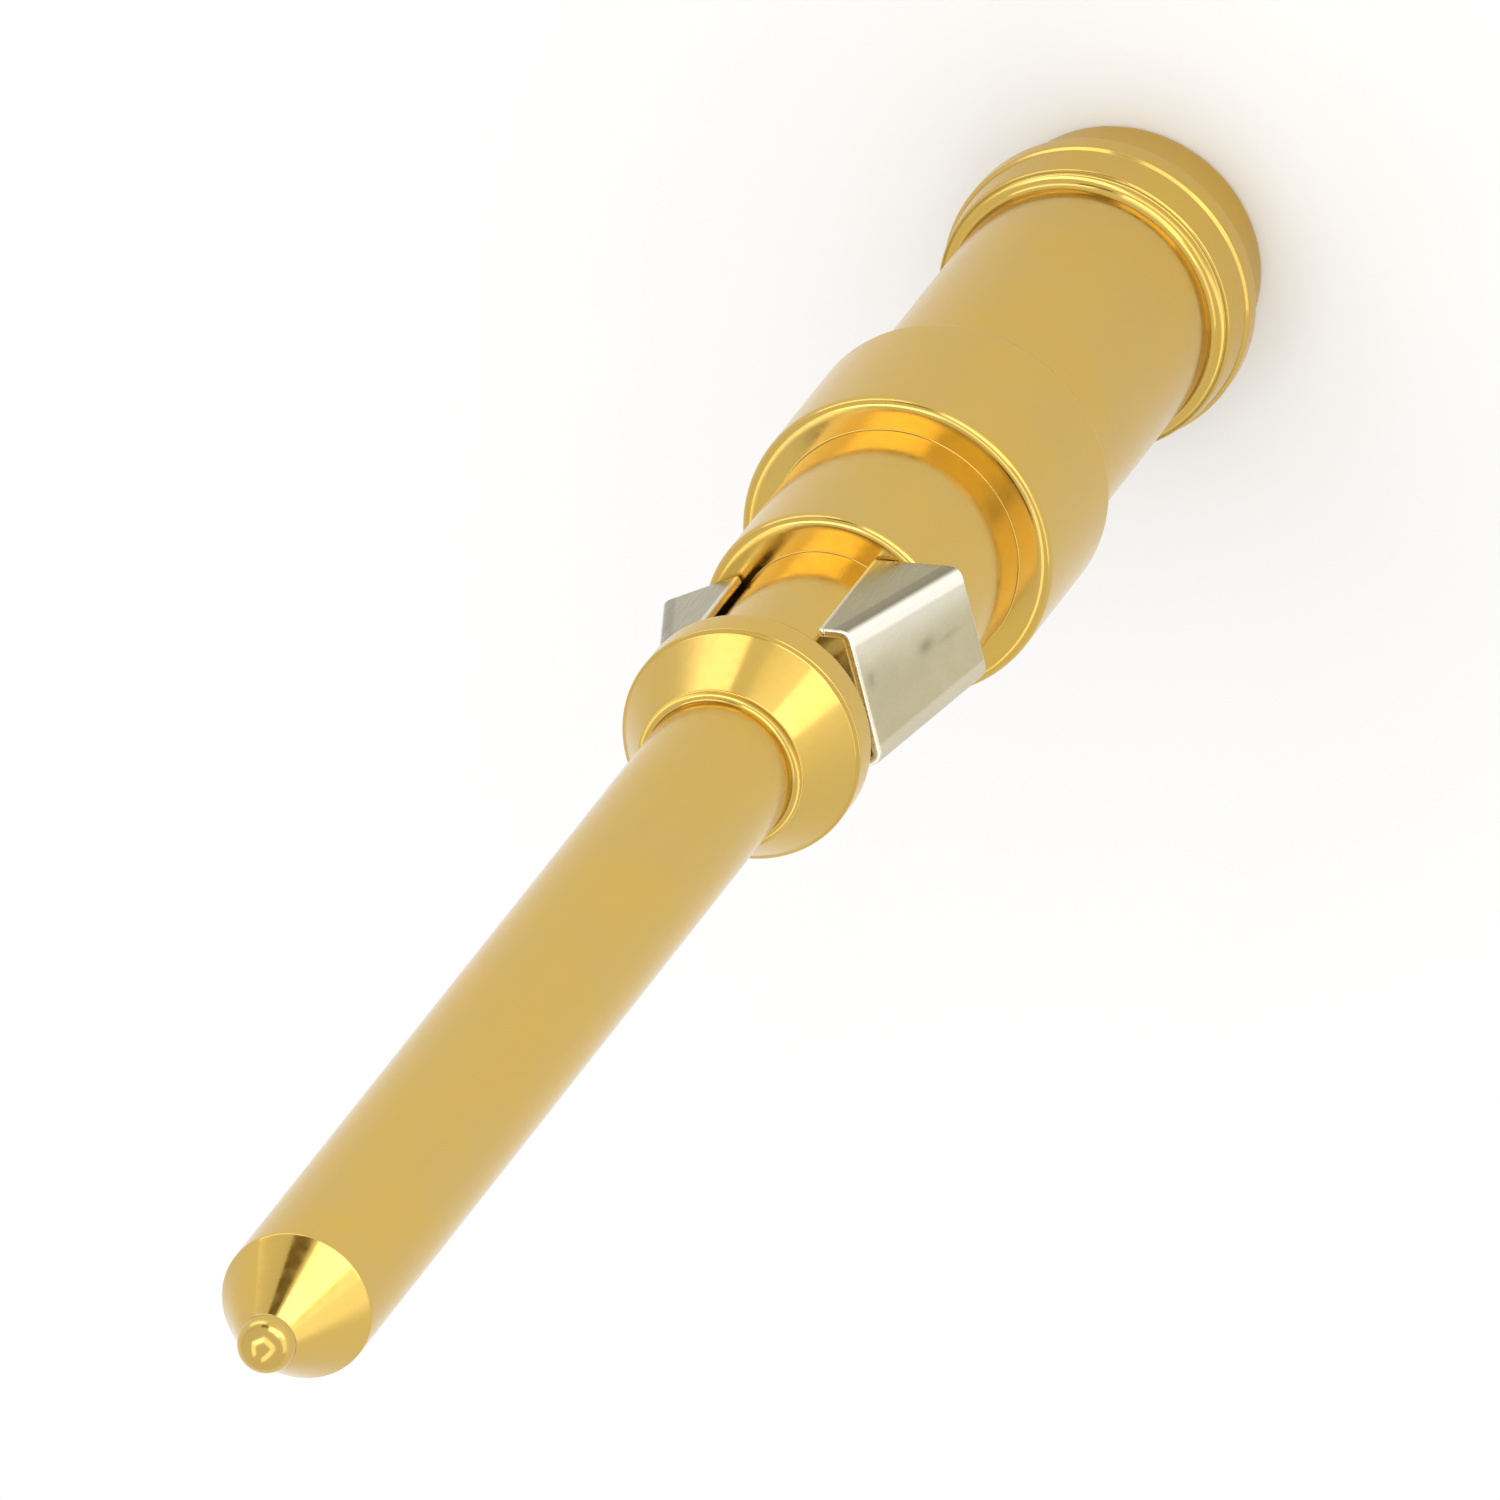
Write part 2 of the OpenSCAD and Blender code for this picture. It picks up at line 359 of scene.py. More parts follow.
def contact_surface(s):
    """Vertices, faces and line lengths of the contact.

    The body is x = r cos a, y = r sin a, z = z, for each profile point (r, z) and each column's angle a. Both
    ends close on one vertex on the axis. Round the inspection hole, a window in the outer grid runs in to a
    circle about the hole's axis, x = c cos t, z = h + c sin t, y = sqrt(R^2 - x^2), down the hole's wall and
    out to a window in the bore's grid. A line length is the distance along the profile, or z + x on the rings
    round the hole.
    """
    profile, bore_row, barrel_row, hole_z = contact_profile(s)
    turn = 2 * math.pi * np.arange(COLUMNS) / COLUMNS
    r, z = profile[1:-1, :1], profile[1:-1, 1:]
    grid = np.stack(np.broadcast_arrays(r * np.cos(turn), r * np.sin(turn), z), axis=-1)
    poles = np.array([[0, 0, profile[0, 1]], [0, 0, profile[-1, 1]]])
    rows = np.arange(grid.shape[0] * COLUMNS).reshape(-1, COLUMNS)
    bottom, top = rows.size, rows.size + 1

    quads = strip_faces(rows, True)
    keep = np.ones(quads.shape[:2], bool)
    for row, window in ((bore_row - 1, INNER_WINDOW), (barrel_row - 1, OUTER_WINDOW)):
        keep[row:row + window.rows, HOLE_COLUMN - window.columns:HOLE_COLUMN + window.columns] = False
    first = np.stack([np.full(COLUMNS, bottom), np.roll(rows[0], -1), rows[0]], axis=-1)
    last = np.stack([np.full(COLUMNS, top), rows[-1], np.roll(rows[-1], -1)], axis=-1)

    # The bore's rows run downwards, so its loop is read from its last row to start at the same corner.
    outer_loop = window_loop(rows, barrel_row - 1, OUTER_WINDOW)
    inner_rows = rows.copy()
    span = slice(bore_row - 1, bore_row + INNER_WINDOW.rows)
    inner_rows[span] = rows[span][::-1]
    inner_loop = window_loop(inner_rows, bore_row - 1, INNER_WINDOW)

    # Both loops start at the lowest corner on the +X side, which is -45 degrees on the hole's circle.
    count = len(outer_loop)
    start = math.radians(-45)
    t = start - 2 * math.pi * np.arange(count) / count
    circle = np.stack([np.cos(t), np.sin(t)])
    flat = grid.reshape(-1, 3)

    def skin(share, loop, radius, hole_r):
        """A ring on a cylinder of that radius, between the hole's circle (share 0) and a window (share 1)."""
        x = (1 - share) * hole_r * circle[0] + share * flat[loop, 0]
        height = (1 - share) * (hole_z + hole_r * circle[1]) + share * flat[loop, 2]
        return np.stack([x, np.sqrt(radius ** 2 - x ** 2), height], axis=1)

    rim_r = s.hole_r + HOLE_EDGE_R
    rings = [skin(share, outer_loop, s.barrel_r, rim_r) for share in (0.72, 0.48, 0.28, 0.12, 0.03)]
    for a in np.linspace(0, math.pi / 2, 5):
        ring = skin(0, outer_loop, s.barrel_r, s.hole_r + HOLE_EDGE_R * (1 - math.sin(a)))
        ring[:, 1] -= HOLE_EDGE_R * (1 - math.cos(a))
        rings.append(ring)
    low = skin(0, inner_loop, s.bore_r, s.hole_r)
    for share in (0.06, 0.5, 0.94, 1.0):
        rings.append((1 - share) * ring + share * low)
    rings += [skin(share, inner_loop, s.bore_r, s.hole_r) for share in (0.05, 0.3, 0.65)]
    extra = np.concatenate(rings)
    numbers = (top + 1 + np.arange(len(extra))).reshape(len(rings), count)
    sleeve = strip_faces(np.concatenate([outer_loop[None], numbers, inner_loop[None]]), True)

    points = np.concatenate([flat, poles, extra])
    along = np.concatenate([[0], np.cumsum(np.linalg.norm(np.diff(profile, axis=0), axis=1))])
    line = np.concatenate([np.repeat(along[1:-1], COLUMNS), along[[0, -1]], extra[:, 2] + extra[:, 0]])
    return points, [quads[keep], first, last, sleeve], line


# Points along the clip's outline: the band round the neck, then each bend's arc with two support points.
BAND_STEPS = 12
BEND_STEPS = 10
BEND_COLUMNS = BEND_STEPS + 3
FOOT_BEND, BACK_FOLD, LIP_FOLD = (
    slice(BAND_STEPS + 1 + k * BEND_COLUMNS, BAND_STEPS + 1 + (k + 1) * BEND_COLUMNS) for k in range(3)
)
# Radius of the bend at a wall's foot, and the angle round the neck by which the band ends before the foot.
FOOT_BEND_R = 0.1
FOOT_BEND_REACH = math.radians(7)
# Radius of the rounding on the sheet's cut edges.
SHEET_EDGE_R = 0.03
# Distances from a fold at which the wall beside it has columns of its own, and the width of the line of
# painted shade along it.
BESIDE_FOLD = np.array([0.02, 0.035, 0.05, 0.065, 0.08, 0.1, 0.12])
SHADE_LINE_W = 0.05
# Shares of the painted shade, a darker steel colour in place of shade and dark reflections: beside the back
# fold and the lip fold, on the walls, and in the press marks.
BACK_FOLD_SHADE, LIP_FOLD_SHADE, WALL_SHADE, DENT_SHADE = 0.7, 0.9, 0.5, 0.7
# Shares of the painted highlight, a pale colour in place of a lamp's shine: on the face by the lip fold, on
# the back fold, on the lips, and inside, where it lifts the shade under the sheet.
FACE_HIGHLIGHT, BACK_FOLD_HIGHLIGHT, LIP_HIGHLIGHT, INSIDE_PAINTED_LIGHT = 0.5, 0.25, 0.5, 0.8


def clip_outline(c, neck_r, z, rear_z):
    """Outer line of the folded sheet seen from above, one for each height z, from the neck's back to one lip.

    A band lies on the circle of the neck. It bends out into a wall that leans off square, folds over the
    tine's face, and folds back to the lip. The face stands at x = rear x - (z - rear z) tan(flare).
    """
    clip_r = neck_r + c.gap
    band_r = clip_r + c.sheet_t
    flare = math.atan((c.span / 2 - band_r) / c.clip_l)
    face_x = c.span / 2 - (z - rear_z) * math.tan(flare)
    foot_r = clip_r + c.sheet_t * 0.9
    foot_x, foot_y = foot_r * math.cos(c.foot_angle), foot_r * math.sin(c.foot_angle)
    lean = math.tan(c.wall_lean)
    fold_y = foot_y - (face_x - foot_x) * lean
    lip_x = c.opening_w / 2
    lip_y = foot_y - (lip_x - foot_x) * lean
    one = np.ones_like(z)
    swing = np.linspace(math.pi / 2, c.foot_angle + FOOT_BEND_REACH, BAND_STEPS + 1)
    band = np.stack([band_r * np.cos(swing), band_r * np.sin(swing)], axis=-1)
    band = np.broadcast_to(band, (len(z), *band.shape))
    corners = np.stack(
        [
            np.stack([one * band[0, -1, 0], one * band[0, -1, 1]], axis=-1),
            np.stack([one * foot_x, one * foot_y], axis=-1),
            np.stack([face_x, fold_y], axis=-1),
            np.stack([face_x, -fold_y], axis=-1),
            np.stack([one * lip_x, one * -lip_y], axis=-1),
        ],
        axis=1,
    )
    bent = filleted(corners, np.array([FOOT_BEND_R, c.fold_r, c.fold_r]), BEND_STEPS)
    return np.concatenate([band[:, :-1], bent], axis=1)


def between(a, b, shares):
    """Points on the straight runs from a to b, at the given shares of each run: a + share (b - a)."""
    return a[:, None] + np.atleast_2d(shares)[..., None] * (b - a)[:, None]


def sheet_loop(thickness, run_l, round_r, steps):
    """Loop round a sheet's section: base height and depth, and the way out from the base to the rounded skin.

    It goes along the outer face, over the front edge, back along the inner face and over the rear edge. Also
    gives the two chains of loop points that face each other across the thickness, from the rear to the front.
    """
    run = np.linspace(-run_l / 2, run_l / 2, steps)
    arc = np.linspace(0, math.pi / 2, 5)
    flat, edge = np.zeros(steps), np.full(5, run_l / 2)
    near, deep = np.full(5, round_r), np.full(5, thickness - round_r)
    loop = np.concatenate(
        [
            np.stack([run, flat + round_r, flat, flat - 1], axis=1)[:-1],
            np.stack([edge, near, np.sin(arc), -np.cos(arc)], axis=1),
            np.stack([edge, deep, np.cos(arc), np.sin(arc)], axis=1),
            np.stack([run[::-1], flat + thickness - round_r, flat, flat + 1], axis=1)[1:-1],
            np.stack([-edge, deep, -np.sin(arc), np.cos(arc)], axis=1),
            np.stack([-edge, near, -np.cos(arc), -np.sin(arc)], axis=1)[:-1],
        ]
    )
    side = steps + 8
    order = np.roll(np.arange(len(loop)), 4)
    return loop.T, order[:side], order[side:][::-1]


# Press marks in the face of the tine along -X: y, height over the clip's rear, half width, half height, and
# share of the dent depth.
DENTS = ((-0.08, 0.80, 0.07, 0.13, 1.0), (-0.13, 1.74, 0.08, 0.07, 0.8), (-0.03, 0.45, 0.03, 0.25, 0.4))


def clip_surface(c, neck_r, rear_z):
    """Vertices, faces, painted highlight and painted shade of the clip.

    Loops round the sheet's section are carried along the folded outline, mirrored for the other half. A loop
    point lies at base + (edge radius - inset) * way out, as a height z and a depth d, and the surface is
    outline(z) - d n, where n is the outline's normal. At the lips the inset grows, which rounds the lip, and
    rungs across the sheet close it. A press mark adds to the depth its dent depth *
    exp(-(dy / half width)^2 - (dz / half height)^2).
    """
    flat_l = c.clip_l - 2 * SHEET_EDGE_R
    (base_z, base_d, way_z, way_d), outer, inner = sheet_loop(c.sheet_t, flat_l, SHEET_EDGE_R, 49)
    mid_z = rear_z + c.clip_l / 2
    line = clip_outline(c, neck_r, mid_z + base_z + SHEET_EDGE_R * way_z, rear_z)
    foot, fold = line[:, FOOT_BEND.stop - 1], line[:, BACK_FOLD.start]
    wall, lip = line[:, LIP_FOLD.stop - 1], line[:, LIP_FOLD.stop]
    wall_l = np.linalg.norm(fold - foot, axis=1)[:, None]
    lip_l = np.linalg.norm(lip - wall, axis=1)[:, None]
    across = np.linspace(0, 1, 29)[1:-1]
    sweep = np.linspace(math.pi / 2, 0.2, 5)
    last_columns = np.append(BESIDE_FOLD / lip_l, 1 - 2 * SHEET_EDGE_R / lip_l, axis=1)
    # Painted shade beside each fold, fading over the shade line's width and never below the walls' even
    # painted shade.
    shade_falloff = np.exp(-((BESIDE_FOLD / SHADE_LINE_W) ** 2))
    shade_by_back_fold = np.maximum(BACK_FOLD_SHADE * shade_falloff[::-1], WALL_SHADE)
    shade_by_lip_fold = np.append(np.maximum(LIP_FOLD_SHADE * shade_falloff, WALL_SHADE), WALL_SHADE)
    # Columns of a fold, from 0 on the face's side of its crown to 1 on the wall's side.
    past_crown = np.clip((np.arange(BEND_COLUMNS) - 5) / 2.5, 0, 1)
    # Painted highlight on the face, rising towards the lip fold.
    face_highlight = FACE_HIGHLIGHT * np.exp(-(((1 - across) / 0.25) ** 2))
    # Stretches of the outline: the line, its painted highlight and its painted shade.
    stretches = [
        (line[:, :FOOT_BEND.stop], 0, 0),
        (between(foot, fold, 1 - BESIDE_FOLD[::-1] / wall_l), 0, shade_by_back_fold),
        (line[:, BACK_FOLD], BACK_FOLD_HIGHLIGHT * (1 - past_crown[::-1]), 0),
        (between(line[:, BACK_FOLD.stop - 1], line[:, LIP_FOLD.start], across), face_highlight, 0),
        (line[:, LIP_FOLD], 1 - past_crown, LIP_FOLD_SHADE * past_crown),
        (between(wall, lip, last_columns), 0, shade_by_lip_fold),
        (between(wall, lip, 1 - SHEET_EDGE_R * (1 - np.cos(sweep)) / lip_l), LIP_HIGHLIGHT, 0),
    ]
    painted_highlight = np.concatenate([np.broadcast_to(share, piece.shape[1]) for piece, share, _ in stretches])
    painted_shade = np.concatenate([np.broadcast_to(share, piece.shape[1]) for piece, _, share in stretches])
    line = np.concatenate([piece for piece, _, _ in stretches], axis=1)
    inset = np.zeros(line.shape[1])
    inset[-len(sweep):] = SHEET_EDGE_R * (1 - np.sin(sweep))

    line = np.concatenate([line[:, :0:-1] * np.array([-1, 1]), line], axis=1)
    inset, painted_highlight, painted_shade = (np.concatenate([a[:0:-1], a]) for a in (inset, painted_highlight, painted_shade))
    way = np.gradient(line, axis=1)
    way /= np.linalg.norm(way, axis=-1, keepdims=True)
    normal = np.stack([-way[..., 1], way[..., 0]], axis=-1)
    skin = (SHEET_EDGE_R - inset)[None]
    depth = base_d[:, None] + skin * way_d[:, None]
    height = mid_z + base_z[:, None] + skin * way_z[:, None]
    outside = (way_d <= 0)[:, None]
    painted_shade = painted_shade * outside
    for y, z, wide, tall, share in DENTS:
        hollow = np.exp(-(((line[..., 1] - y) / wide) ** 2) - ((height - rear_z - z) / tall) ** 2)
        hollow = share * hollow * (line[..., 0] < 0)
        depth = depth + c.dent_depth * hollow
        # Painted shade in the press mark's hollow.
        painted_shade = np.maximum(painted_shade, DENT_SHADE * hollow * outside)
    points = np.concatenate([line - depth[..., None] * normal, height[..., None]], axis=-1)

    numbers = np.arange(points.shape[0] * points.shape[1]).reshape(points.shape[:2])
    shell = strip_faces(numbers.T, True)
    caps = [
        strip_faces(np.stack([numbers[a, end], numbers[b, end]]), False)
        for a, b, end in ((inner, outer, 0), (outer, inner, -1))
    ]
    # Painted highlight on the front and rear cut edges.
    edge = np.abs(way_z)[:, None] * np.ones_like(painted_highlight)
    # The inside of the sheet is painted pale all over, lifting the shade beneath it.
    painted_highlight = np.where(outside, np.maximum(painted_highlight, edge), INSIDE_PAINTED_LIGHT)
    return points.reshape(-1, 3), [shell, *caps], painted_highlight.ravel(), painted_shade.ravel()


# ----------------------------------------------------------------- materials

def new_material(name):
    """An empty node material with its output and the tree to build in."""
    material = bpy.data.materials.new(name)
    material.use_nodes = True
    tree = material.node_tree
    tree.nodes.clear()
    return material, tree, tree.nodes.new("ShaderNodeOutputMaterial")


def add(tree, kind, sockets=None, **settings):
    """A new node with its settings and its inputs: a value is set on the socket, and a socket is linked."""
    made = tree.nodes.new(kind)
    for key, value in settings.items():
        setattr(made, key, value)
    for key, value in (sockets or {}).items():
        if isinstance(value, bpy.types.NodeSocket):
            tree.links.new(value, made.inputs[key])
        else:
            made.inputs[key].default_value = value
    return made


def noise(tree, coordinates, per_mm, detail=2.0):
    """Even cloudy noise on object coordinates, with about so many features in a millimetre."""
    settings = {"Vector": coordinates, "Scale": per_mm / MM, "Detail": detail, "Roughness": 0.5}
    return add(tree, "ShaderNodeTexNoise", settings).outputs["Fac"]


def remap(tree, value, low, high, to_low, to_high):
    """The value carried from one range to another."""
    sockets = {"Value": value, "From Min": low, "From Max": high, "To Min": to_low, "To Max": to_high}
    return add(tree, "ShaderNodeMapRange", sockets).outputs["Result"]


def blend(tree, share, first, second):
    """A colour between two others."""
    made = add(tree, "ShaderNodeMix", data_type="RGBA")
    for socket, value in ((made.inputs[0], share), (made.inputs[6], first), (made.inputs[7], second)):
        if isinstance(value, bpy.types.NodeSocket):
            tree.links.new(value, socket)
        else:
            socket.default_value = value
    return made.outputs[2]


def rgba(values, share=1.0):
    """A colour with its alpha, darkened to a share of itself."""
    return (*(share * channel for channel in values), 1.0)


def gold_material(f):
    """Bright gold plating on turned metal: fine turning lines round the axis and slightly uneven plate."""
    material, tree, output = new_material("gold_plating")
    place = add(tree, "ShaderNodeTexCoord").outputs["Object"]
    line = add(tree, "ShaderNodeAttribute", attribute_name="line_mm").outputs["Fac"]
    turned = add(tree, "ShaderNodeTexNoise", {"W": line, "Scale": 14.0, "Detail": 3.0}, noise_dimensions="1D")
    cloud = noise(tree, place, 0.9)
    pits = noise(tree, place, 9.0, 4.0)
    bump = add(
        tree, "ShaderNodeBump",
        {"Height": turned.outputs["Fac"], "Strength": 0.06, "Distance": 0.003 * MM},
    )
    bump = add(
        tree, "ShaderNodeBump",
        {"Height": pits, "Strength": 0.1, "Distance": 0.003 * MM, "Normal": bump.outputs["Normal"]},
    )
    plate = blend(tree, remap(tree, cloud, 0.35, 0.65, 0.0, 1.0), rgba(f.gold), rgba(f.gold_thin))
    rough = remap(tree, pits, 0.3, 0.7, f.gold_rough * 0.8, f.gold_rough * 1.3)
    shader = add(
        tree, "ShaderNodeBsdfPrincipled",
        {
            "Base Color": plate,
            "Metallic": 1.0,
            "Specular Tint": rgba(f.gold_edge),
            "Roughness": rough,
            "Normal": bump.outputs["Normal"],
        },
    )
    tree.links.new(shader.outputs["BSDF"], output.inputs["Surface"])
    return material


def steel_material(f):
    """Satin stainless sheet with rolling grain, a painted highlight on its folds and edges, and painted shade
    beside each fold, on its walls and in its press marks.
    """
    material, tree, output = new_material("clip_sheet_steel")
    place = add(tree, "ShaderNodeTexCoord").outputs["Object"]
    along_clip = {"Vector": place, "Scale": (1.0, 1.0, 0.12)}
    grain_place = add(tree, "ShaderNodeMapping", along_clip).outputs["Vector"]
    grain = noise(tree, grain_place, 22.0, 3.0)
    cloud = noise(tree, place, 2.2)
    painted_highlight = add(tree, "ShaderNodeAttribute", attribute_name="painted_highlight").outputs["Fac"]
    painted_shade = add(tree, "ShaderNodeAttribute", attribute_name="painted_shade").outputs["Fac"]
    base = blend(tree, remap(tree, cloud, 0.35, 0.65, 0.0, 0.6), rgba(f.steel), rgba(f.steel, 0.88))
    # Painted shade: the sheet darkened towards three tenths of its colour beside the folds, on the walls and
    # in the press marks.
    base = blend(tree, remap(tree, painted_shade, 0.0, 1.0, 0.0, 0.8), base, rgba(f.steel, 0.3))
    # Painted highlight: the sheet turned towards the pale highlight colour on the folds, the cut edges, the
    # face by the lip fold and its inside.
    base = blend(tree, painted_highlight, base, rgba(f.fold_steel))
    bump = add(tree, "ShaderNodeBump", {"Height": grain, "Strength": 0.25, "Distance": 0.004 * MM})
    shader = add(
        tree, "ShaderNodeBsdfPrincipled",
        {
            "Base Color": base,
            "Metallic": 1.0,
            "Roughness": remap(tree, grain, 0.3, 0.7, f.steel_rough * 0.8, f.steel_rough * 1.25),
            "Normal": bump.outputs["Normal"],
        },
    )
    tree.links.new(shader.outputs["BSDF"], output.inputs["Surface"])
    return material


def floor_material(f):
    """Plain pale floor, paler away from the contact, where the lamps fall off."""
    material, tree, output = new_material("pale_floor")
    place = add(tree, "ShaderNodeTexCoord").outputs["Object"]
    away = add(tree, "ShaderNodeVectorMath", {0: place}, operation="LENGTH").outputs["Value"]
    share = remap(tree, away, 0.03, 0.09, 0.0, 1.0)
    shader = add(
        tree, "ShaderNodeBsdfDiffuse", {"Color": blend(tree, share, rgba(f.floor), rgba(f.floor_far))}
    )
    tree.links.new(shader.outputs["BSDF"], output.inputs["Surface"])
    return material


def plain_material(name, values):
    """One even matt colour."""
    material, tree, output = new_material(name)
    shader = add(tree, "ShaderNodeBsdfDiffuse", {"Color": rgba(values)})
    tree.links.new(shader.outputs["BSDF"], output.inputs["Surface"])
    return material


# ----------------------------------------------------------------- operators

def neck_foot_z(s):
    """Height of the neck's rear end, where the clip sits, over the wire end of the contact."""
    return s.tail_l + s.ring_l + s.barrel_l + s.flange_l + s.shoulder_l


class CONTACT_OT_make_contact(Operator):
    """Make the turned, gold-plated contact in one closed surface"""

    bl_idname = "contact.make_contact"
    bl_label = "Make contact"
    bl_options = {"REGISTER", "UNDO"}

    def execute(self, context):
        sizes = in_mm(context.scene.contact_sizes)
        points, faces, line = contact_surface(sizes)
        body = mesh_object("turned_contact", points, faces, [("line_mm", line)])
        body.data.materials.append(gold_material(in_mm(context.scene.contact_finish)))
        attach(body, "contact")
        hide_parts("contact_body")
        return {"FINISHED"}


class CONTACT_OT_make_clip(Operator):
    """Make the folded retention clip that turns on the contact's neck"""

    bl_idname = "contact.make_clip"
    bl_label = "Make clip"
    bl_options = {"REGISTER", "UNDO"}

    def execute(self, context):
        contact = in_mm(context.scene.contact_sizes)
        sizes = in_mm(context.scene.clip_sizes)
        rear_z = neck_foot_z(contact) + sizes.end_gap
        points, faces, painted_highlight, painted_shade = clip_surface(sizes, contact.neck_r, rear_z)
        # The clip carries its painted highlight and its painted shade as two attributes.
        clip = mesh_object("folded_clip", points, faces, [("painted_highlight", painted_highlight), ("painted_shade", painted_shade)])
        clip.data.materials.append(steel_material(in_mm(context.scene.contact_finish)))
        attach(clip, "clip")
        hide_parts("retention_clip")
        return {"FINISHED"}


# Width of the camera's sensor and half the width of the floor, and the camera's far limit in metres.
SENSOR_W = 36.0
FLOOR_REACH = 6000.0
CLIP_END = 10.0
# Soft boxes: name, the setting for its level, bearing in degrees, then distance, width, low and high edge.
SOFT_BOXES = (
    ("key_soft_box", "key", -73, 150, 200, 200, 340),
    ("left_side_soft_box", "side", -5, 150, 220, 200, 360),
    ("right_side_soft_box", "side", 120, 150, 360, 200, 380),
    ("left_soft_box", "fill", -72, 50, 46, 1, 12),
    ("low_soft_box", "fill", -161, 100, 56, 1, 18),
    ("front_soft_box", "front", -165, 120, 300, 1, 45),
    ("upper_soft_box", "upper", -145, 150, 260, 170, 330),
    ("tip_soft_box", "glint", -137, 60, 50, 18, 40),
)
# Dark card: bearing in degrees, then distance, half width, low and high edge.
DARK_CARD = (-97, 60, 11.5, 17, 29)


def direction(azimuth, elevation=0.0):
    """Unit direction with an azimuth from +X and an elevation, both in radians."""
    flat = math.cos(elevation)
    return Vector((flat * math.cos(azimuth), flat * math.sin(azimuth), math.sin(elevation)))


def link(name, data):
    """A new object with its data, in the scene's collection."""
    obj = bpy.data.objects.new(name, data)
    bpy.context.collection.objects.link(obj)
    return obj


def soft_box(name, radiance, bearing, distance, width, low, high):
    """An upright area lamp that faces the contact's axis from a bearing in degrees and a distance.

    Its power is 4 * radiance * width * height.
    """
    lamp = bpy.data.lights.new(name, "AREA")
    lamp.shape = "RECTANGLE"
    lamp.size, lamp.size_y = width * MM, (high - low) * MM
    lamp.energy = 4 * radiance * lamp.size * lamp.size_y
    out = direction(math.radians(bearing))
    obj = link(name, lamp)
    obj.location = out * distance * MM + Vector((0, 0, (low + high) / 2 * MM))
    obj.rotation_euler = out.to_track_quat("Z", "Y").to_euler()
    obj.visible_camera = False


def sheet_object(name, corners, material):
    """A flat stage piece from its four corners in millimetres."""
    obj = mesh_object(name, np.array(corners, float), [np.array([[0, 1, 2, 3]])])
    obj.data.materials.append(material)
    return obj


def upright_card(name, bearing, distance, half_w, low, high, material):
    """A card that stands like a soft box and that the camera doesn't see."""
    out = direction(math.radians(bearing))
    along = Vector((0, 0, 1)).cross(out) * half_w
    square = ((-1, low), (1, low), (1, high), (-1, high))
    corners = [out * distance + along * x + Vector((0, 0, z)) for x, z in square]
    sheet_object(name, corners, material).visible_camera = False


def even_sky(scene, level_on_matt):
    """A white world of strength 1 to the camera, mirrors and glass, and of its own level to matt surfaces."""
    world = bpy.data.worlds.new("even_sky")
    world.use_nodes = True
    tree = world.node_tree
    tree.nodes.clear()
    rays = add(tree, "ShaderNodeLightPath").outputs
    seen = rays["Is Camera Ray"]
    for ray in ("Is Glossy Ray", "Is Transmission Ray"):
        seen = add(tree, "ShaderNodeMath", {0: seen, 1: rays[ray]}, operation="MAXIMUM").outputs[0]
    strength = remap(tree, seen, 0.0, 1.0, level_on_matt, 1.0)
    background = add(tree, "ShaderNodeBackground", {"Color": (1, 1, 1, 1), "Strength": strength})
    add(tree, "ShaderNodeOutputWorld", {"Surface": background.outputs[0]}).is_active_output = True
    scene.world = world


def stage_camera(scene, stage):
    """A long-lens camera that looks down along the contact, a little beside its axis."""
    back = direction(stage.azimuth, stage.elevation)
    right = Vector((0, 0, 1)).cross(back).normalized()
    up = back.cross(right)
    turned = Matrix((right, up, back)).transposed() @ Matrix.Rotation(stage.roll, 3, "Z")
    camera = bpy.data.cameras.new("camera")
    camera.lens, camera.sensor_width = stage.lens, SENSOR_W
    camera.clip_end = CLIP_END
    distance = stage.frame_w * stage.lens / SENSOR_W
    aim = Vector((0, 0, stage.aim_z)) - right * stage.aim_side
    obj = link("camera", camera)
    obj.matrix_world = Matrix.Translation((aim + back * distance) * MM) @ turned.to_4x4()
    scene.camera = obj


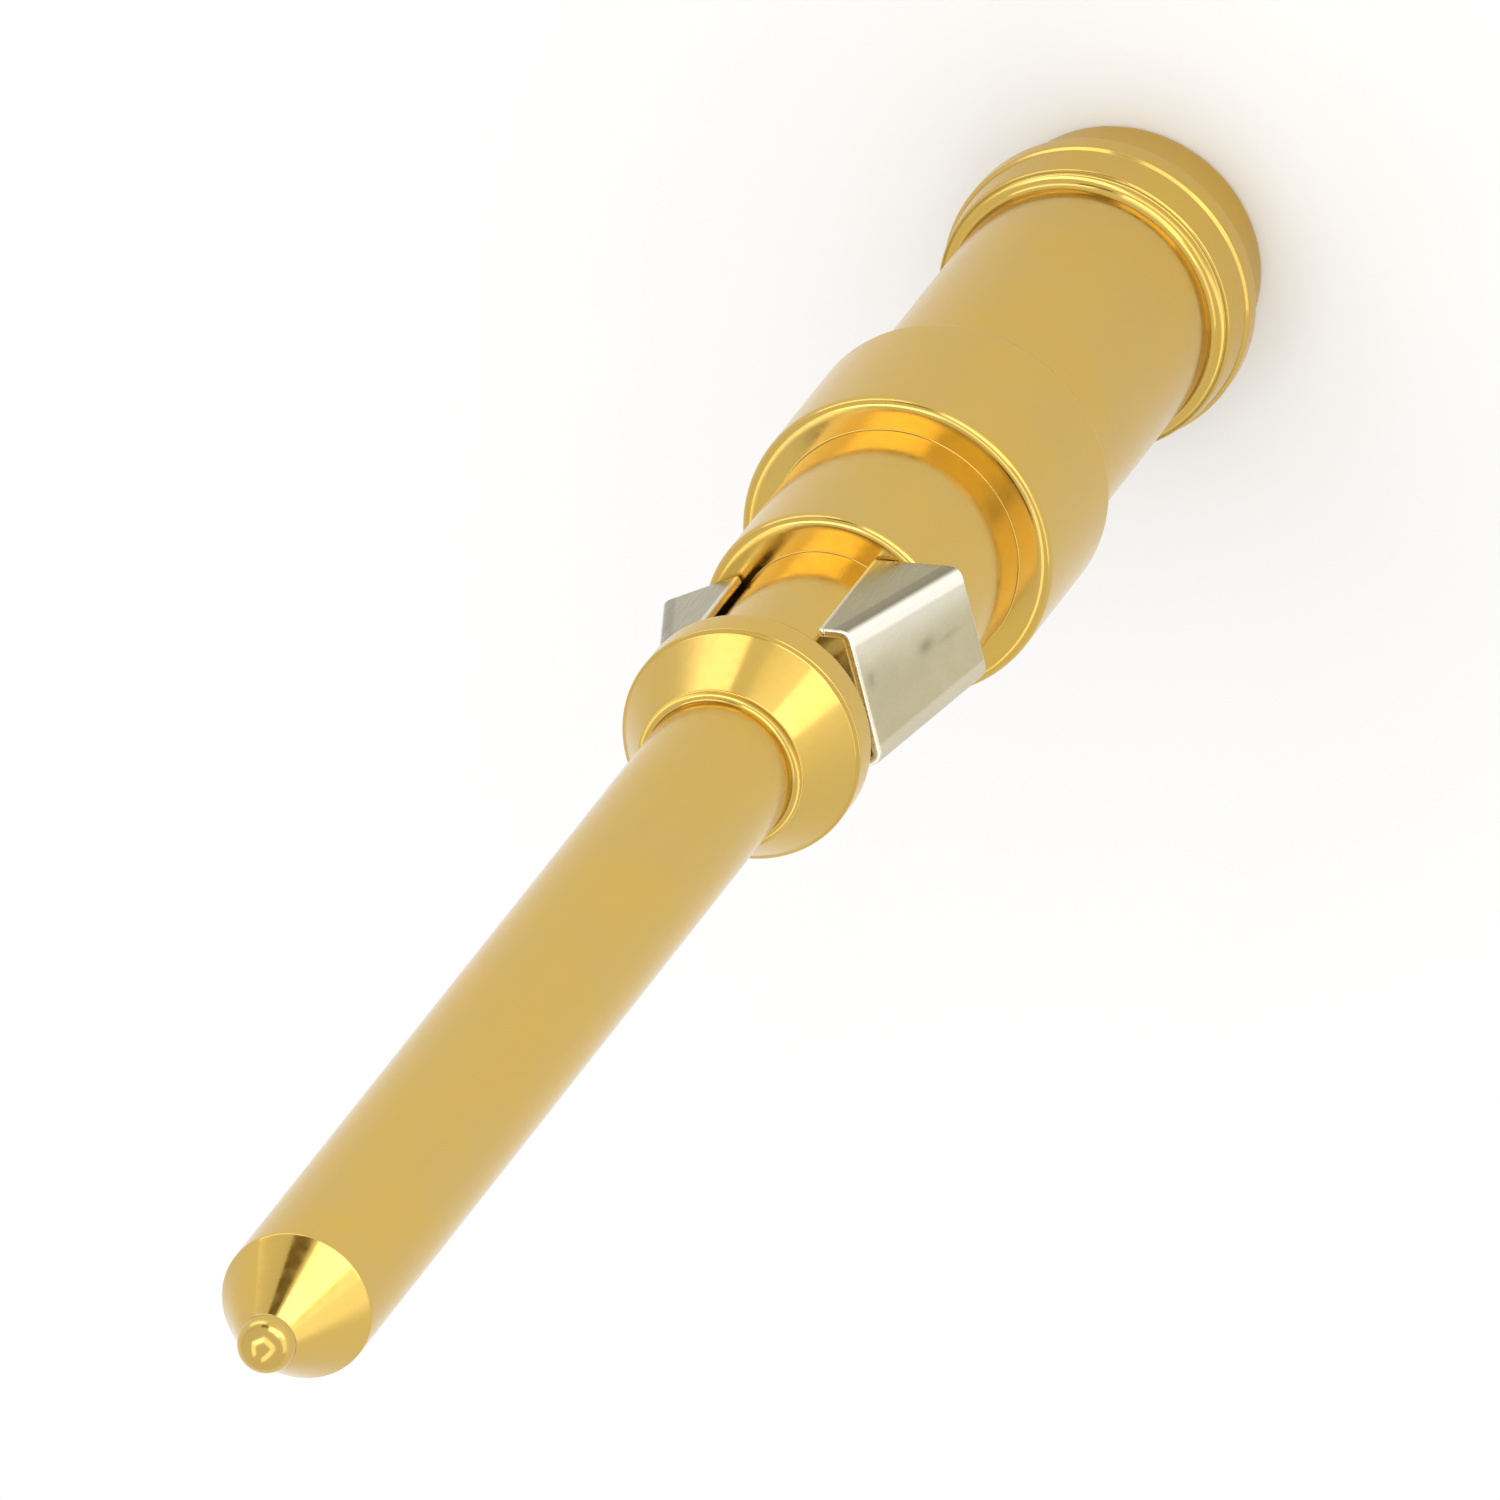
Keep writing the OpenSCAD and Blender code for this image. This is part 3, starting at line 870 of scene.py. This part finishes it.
class CONTACT_OT_make_stage(Operator):
    """Make the pale floor, the soft lights, the dark card, the sky and the camera"""

    bl_idname = "contact.make_stage"
    bl_label = "Make stage"
    bl_options = {"REGISTER", "UNDO"}

    def execute(self, context):
        finish = in_mm(context.scene.contact_finish)
        stage = in_mm(context.scene.contact_stage)
        corners = [(x * FLOOR_REACH, y * FLOOR_REACH, 0) for x, y in ((-1, -1), (1, -1), (1, 1), (-1, 1))]
        sheet_object("floor", corners, floor_material(finish))
        for name, setting, *place in SOFT_BOXES:
            soft_box(name, getattr(stage, setting), *place)
        upright_card("dark_card", *DARK_CARD, plain_material("brown_felt", finish.card))
        even_sky(context.scene, stage.sky)
        stage_camera(context.scene, stage)
        context.scene.view_settings.view_transform = "Standard"
        return {"FINISHED"}


class CONTACT_PT_panel(Panel):
    """Sizes, finishes and stage of the crimp contact"""

    bl_idname = "CONTACT_PT_panel"
    bl_label = "Crimp contact"
    bl_space_type = "VIEW_3D"
    bl_region_type = "UI"
    bl_category = "Contact"

    def draw(self, context):
        for operator, groups in PIECES.items():
            self.layout.operator(operator)
            for group in groups:
                box = self.layout.box()
                values = getattr(context.scene, group)
                for key in values.__annotations__:
                    box.prop(values, key)


GROUPS = {
    "contact_sizes": ContactSizes,
    "clip_sizes": ClipSizes,
    "contact_finish": FinishSettings,
    "contact_stage": StageSettings,
}
PIECES = {
    CONTACT_OT_make_contact.bl_idname: ("contact_sizes",),
    CONTACT_OT_make_clip.bl_idname: ("clip_sizes",),
    CONTACT_OT_make_stage.bl_idname: ("contact_finish", "contact_stage"),
}
CLASSES = (
    *GROUPS.values(),
    CONTACT_OT_make_contact,
    CONTACT_OT_make_clip,
    CONTACT_OT_make_stage,
    CONTACT_PT_panel,
)


def register():
    for cls in CLASSES:
        bpy.utils.register_class(cls)
    for name, group in GROUPS.items():
        setattr(bpy.types.Scene, name, PointerProperty(type=group))


def unregister():
    for name in GROUPS:
        delattr(bpy.types.Scene, name)
    for cls in reversed(CLASSES):
        bpy.utils.unregister_class(cls)


def main():
    register()
    bpy.ops.contact.make_contact()
    bpy.ops.contact.make_clip()
    bpy.ops.contact.make_stage()


if __name__ == "__main__":
    main()
